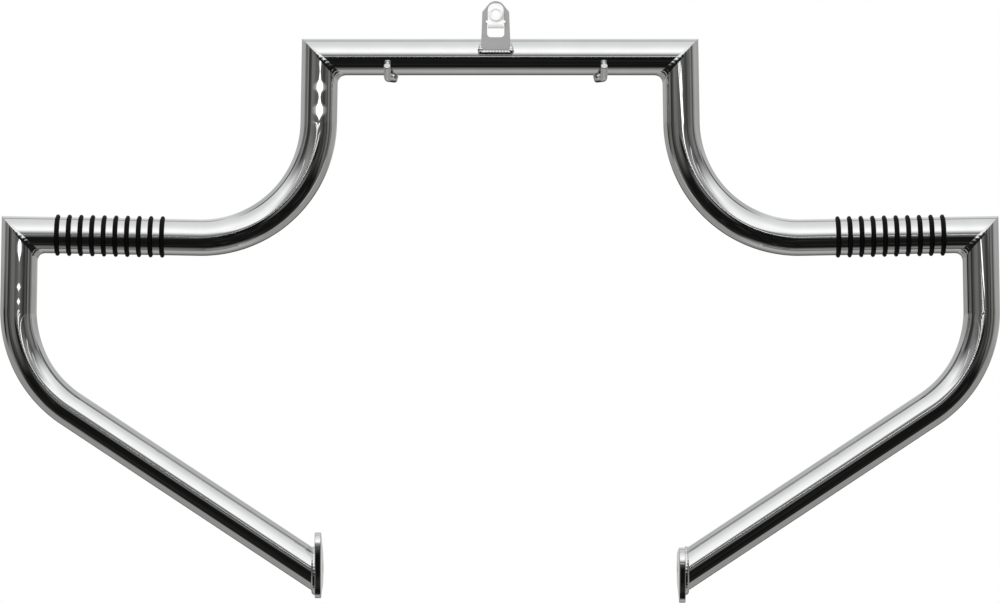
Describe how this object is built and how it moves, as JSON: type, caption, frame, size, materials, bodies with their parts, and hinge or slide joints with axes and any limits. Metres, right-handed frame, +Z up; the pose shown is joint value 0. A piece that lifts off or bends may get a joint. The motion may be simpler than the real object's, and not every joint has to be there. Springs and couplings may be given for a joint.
{
  "type": "motorcycle crash bar",
  "caption": "Chromed tubular engine guard: a crossbar, side tubes bent out into ringed foot bars, and legs bent in to flat end plates, with a bolt tab and hooks.",
  "frame": {"origin": "On the clip nut's thread axis, halfway along its thread, in the tab on the crossbar.", "axes": "+X to the right as seen from the front, the long way across the bike; +Y back, away from the viewer, along the upper bolt; +Z up."},
  "size_m": [0.8678, 0.0814, 0.5208],
  "materials": {
    "chrome": "bright chrome plate over steel, welds plated too",
    "rubber": "matt black",
    "zinc_plate": "bright zinc plate on spring steel"
  },
  "bodies": {
    "root": {"clip_nut": "zinc_plate", "left_end_plate": "chrome", "left_foot_weld": "chrome", "left_hook": "chrome", "left_hook_weld": "chrome", "left_leg": "chrome", "left_outer_weld": "chrome", "left_ring_01": "rubber", "left_ring_02": "rubber", "left_ring_03": "rubber", "left_ring_04": "rubber", "left_ring_05": "rubber", "left_ring_06": "rubber", "left_ring_07": "rubber", "left_ring_08": "rubber", "left_ring_09": "rubber", "left_ring_10": "rubber", "left_side_tube": "chrome", "left_upper_weld": "chrome", "mounting_tab": "chrome", "right_end_plate": "chrome", "right_foot_weld": "chrome", "right_hook": "chrome", "right_hook_weld": "chrome", "right_leg": "chrome", "right_outer_weld": "chrome", "right_ring_01": "rubber", "right_ring_02": "rubber", "right_ring_03": "rubber", "right_ring_04": "rubber", "right_ring_05": "rubber", "right_ring_06": "rubber", "right_ring_07": "rubber", "right_ring_08": "rubber", "right_ring_09": "rubber", "right_ring_10": "rubber", "right_side_tube": "chrome", "right_upper_weld": "chrome", "tab_weld": "chrome", "top_crossbar": "chrome"}
  },
  "joints": []
}
